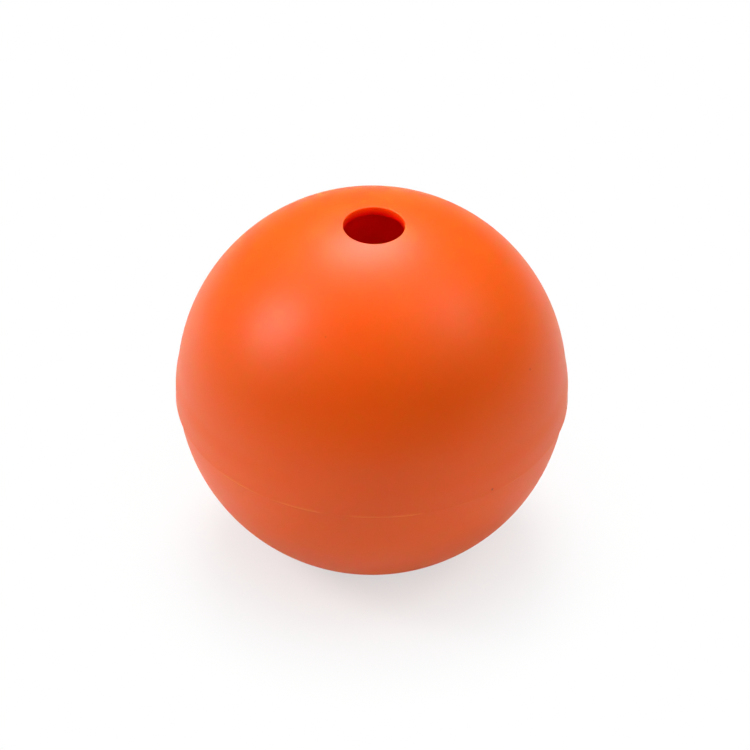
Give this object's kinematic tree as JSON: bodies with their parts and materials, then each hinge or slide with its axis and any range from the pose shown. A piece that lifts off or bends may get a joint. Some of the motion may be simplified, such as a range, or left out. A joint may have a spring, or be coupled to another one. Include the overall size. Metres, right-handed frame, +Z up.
{
  "type": "ice ball mold",
  "caption": "Round silicone ice ball mold: a domed top with a fill hole laps over a base cup with a flat foot, around a spherical cavity. The top lifts off to free the ice.",
  "frame": {"origin": "middle of the flat foot, on the surface that the mold stands on", "axes": "+Z up along the axis of the ball, through the fill hole; X and Y are free, because the part is round"},
  "size_m": [0.0684, 0.0684, 0.0654],
  "materials": {
    "silicone": "satin, moulded"
  },
  "bodies": {
    "base": {"base_cup": "silicone"},
    "top": {"top_shell": "silicone"}
  },
  "joints": [
    {"name": "lift_off", "type": "slide", "parent": "base", "child": "top", "axis": [0, 0, 1], "range_m": [0, 0.07]}
  ]
}
